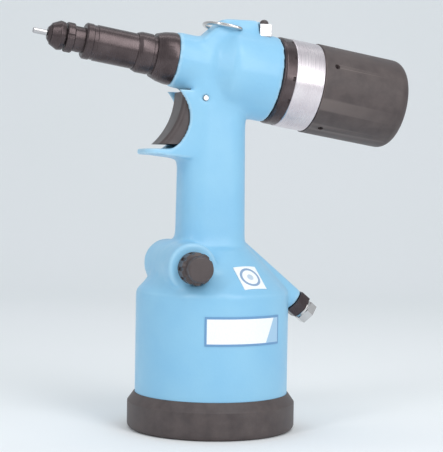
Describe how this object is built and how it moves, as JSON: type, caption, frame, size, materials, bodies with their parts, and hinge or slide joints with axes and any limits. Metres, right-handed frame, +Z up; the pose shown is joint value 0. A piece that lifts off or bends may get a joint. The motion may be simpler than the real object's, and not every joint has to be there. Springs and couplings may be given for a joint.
{
  "type": "pneumatic rivet gun",
  "caption": "Hand-held hydro-pneumatic gun that spins and pulls threaded rivets home, standing on its round base with its nose level.",
  "frame": {"origin": "centre of the underside of the base boot, on the axis of the air cylinder and handle", "axes": "+Z up along the cylinder and handle; the nose points towards -X and the motor towards +X; the knob is on the -Y side"},
  "size_m": [0.2744, 0.12, 0.2928],
  "materials": {
    "casting_paint": "light blue stoved enamel on cast alloy",
    "boot_rubber": "moulded rubber, satin",
    "black_oxide_steel": "turned steel, black oxide, oiled",
    "black_nylon": "moulded nylon, satin",
    "band_aluminium": "turned aluminium, fine lathe marks",
    "machined_aluminium": "machined aluminium",
    "bright_steel": "ground steel",
    "spring_steel": "spring steel",
    "nickel_plate": "nickel plated",
    "gland_bronze": "cast bronze",
    "gear_steel": "hardened gear steel",
    "seal_rubber": "nitrile rubber",
    "vane_laminate": "resin laminate",
    "wool_felt": "pressed wool felt",
    "plate_print": null
  },
  "bodies": {
    "housing": {"body_casting": "casting_paint", "base_boot": "boot_rubber", "base_cover": "machined_aluminium", "base_retaining_ring": "spring_steel", "rod_gland": "gland_bronze", "intensifier_tube": "bright_steel", "valve_sleeve": "machined_aluminium", "spool_spring": "spring_steel", "valve_end_plug": "black_oxide_steel", "trigger_pin": "bright_steel", "inlet_adaptor": "black_oxide_steel", "reverse_block": "bright_steel", "button_spring": "spring_steel", "bleed_screw": "black_oxide_steel", "nose_tip": "black_oxide_steel", "nose_collar": "black_oxide_steel", "nose_lock_nut": "black_oxide_steel", "nose_barrel": "black_oxide_steel", "nose_flange_nut": "black_oxide_steel", "return_spring": "spring_steel", "spring_seat": "bright_steel", "ring_gear": "gear_steel", "rotor_bearings": "bright_steel", "stator": "bright_steel", "silencer": "wool_felt", "front_end_plate": "machined_aluminium", "rear_end_plate": "machined_aluminium", "clamp_ring": "black_oxide_steel", "motor_band": "band_aluminium", "motor_cover": "boot_rubber", "cover_set_screws": "black_oxide_steel", "name_plate": "plate_print", "badge_plate": "plate_print"},
    "air_drive": {"air_piston": "machined_aluminium", "piston_lip_seal": "seal_rubber", "piston_rod": "bright_steel", "rod_collar_nut": "bright_steel"},
    "trigger": {"trigger": "black_nylon"},
    "plunger": {"trigger_plunger": "bright_steel"},
    "knob": {"valve_knob": "black_nylon", "valve_spindle": "bright_steel"},
    "spool": {"spool_valve": "bright_steel"},
    "swivel": {"inlet_swivel": "nickel_plate", "inlet_nipple": "nickel_plate"},
    "bail": {"suspension_bail": "nickel_plate"},
    "button": {"reverse_button": "black_nylon"},
    "puller": {"head_piston": "bright_steel", "head_piston_seal": "seal_rubber"},
    "drive": {"drive_shaft": "bright_steel", "drive_screw": "bright_steel"},
    "carrier": {"planet_carrier": "gear_steel", "planet_pins": "bright_steel"},
    "planet_one": {"planet_gear_1": "gear_steel"},
    "planet_two": {"planet_gear_2": "gear_steel"},
    "planet_three": {"planet_gear_3": "gear_steel"},
    "rotor": {"rotor": "gear_steel", "rotor_vanes": "vane_laminate", "sun_pinion": "gear_steel"}
  },
  "joints": [
    {"name": "trigger_squeeze", "type": "hinge", "parent": "housing", "child": "trigger", "pos_m": [-0.0128, 0, 0.235], "axis": [0, -1, 0], "range_deg": [0, 4], "stiffness_Nm_per_rad": 2, "springref_deg": -6.88},
    {"name": "plunger_slide", "type": "slide", "parent": "housing", "child": "plunger", "axis": [1, 0, 0], "range_m": [0, 0.0016]},
    {"name": "knob_turn", "type": "hinge", "parent": "housing", "child": "knob", "pos_m": [-0.026, -0.04, 0.117], "axis": [0, -1, 0], "range_deg": [0, 270]},
    {"name": "spool_shift", "type": "slide", "parent": "housing", "child": "spool", "axis": [0, -1, 0], "range_m": [0, 0.003], "deforming": ["spool_spring"]},
    {"name": "swivel_turn", "type": "hinge", "parent": "housing", "child": "swivel", "pos_m": [0.07426, 0, 0.08031], "axis": [0.766, 0, -0.6428], "continuous": true},
    {"name": "bail_swing", "type": "hinge", "parent": "housing", "child": "bail", "pos_m": [0.014, 0, 0.2846], "axis": [0, 1, 0], "range_deg": [0, 135]},
    {"name": "button_push", "type": "slide", "parent": "housing", "child": "button", "axis": [0, 0, -1], "range_m": [0, 0.002], "stiffness_N_per_m": 400, "springref_m": -0.002, "deforming": ["button_spring"]},
    {"name": "air_piston_stroke", "type": "slide", "parent": "housing", "child": "air_drive", "axis": [0, 0, 1], "range_m": [0, 0.036], "deforming": ["return_spring"]},
    {"name": "pull_stroke", "type": "slide", "parent": "housing", "child": "puller", "axis": [0.9874, 0, -0.1582], "range_m": [0, 0.006]},
    {"name": "screw_spin", "type": "hinge", "parent": "puller", "child": "drive", "pos_m": [0, 0, 0.2574], "axis": [0.9874, 0, -0.1582], "continuous": true},
    {"name": "carrier_spin", "type": "hinge", "parent": "housing", "child": "carrier", "pos_m": [0.0395, 0, 0.25107], "axis": [0.9874, 0, -0.1582], "continuous": true},
    {"name": "rotor_spin", "type": "hinge", "parent": "housing", "child": "rotor", "pos_m": [0.07899, 0, 0.24475], "axis": [0.9874, 0, -0.1582], "continuous": true},
    {"name": "planet_one_spin", "type": "hinge", "parent": "carrier", "child": "planet_one", "pos_m": [0.047, 0, 0.23468], "axis": [0.9874, 0, -0.1582], "continuous": true},
    {"name": "planet_two_spin", "type": "hinge", "parent": "carrier", "child": "planet_two", "pos_m": [0.05056, 0.01299, 0.2569], "axis": [0.9874, 0, -0.1582], "continuous": true},
    {"name": "planet_three_spin", "type": "hinge", "parent": "carrier", "child": "planet_three", "pos_m": [0.05056, -0.01299, 0.2569], "axis": [0.9874, 0, -0.1582], "continuous": true}
  ],
  "couplings": [
    {"joint": "plunger_slide", "follows": "trigger_squeeze", "m_per_rad": 0.021},
    {"joint": "pull_stroke", "follows": "air_piston_stroke", "ratio": 0.16623},
    {"joint": "carrier_spin", "follows": "rotor_spin", "ratio": 0.2},
    {"joint": "screw_spin", "follows": "rotor_spin", "ratio": 0.2},
    {"joint": "planet_one_spin", "follows": "rotor_spin", "ratio": -0.53333},
    {"joint": "planet_two_spin", "follows": "rotor_spin", "ratio": -0.53333},
    {"joint": "planet_three_spin", "follows": "rotor_spin", "ratio": -0.53333}
  ]
}
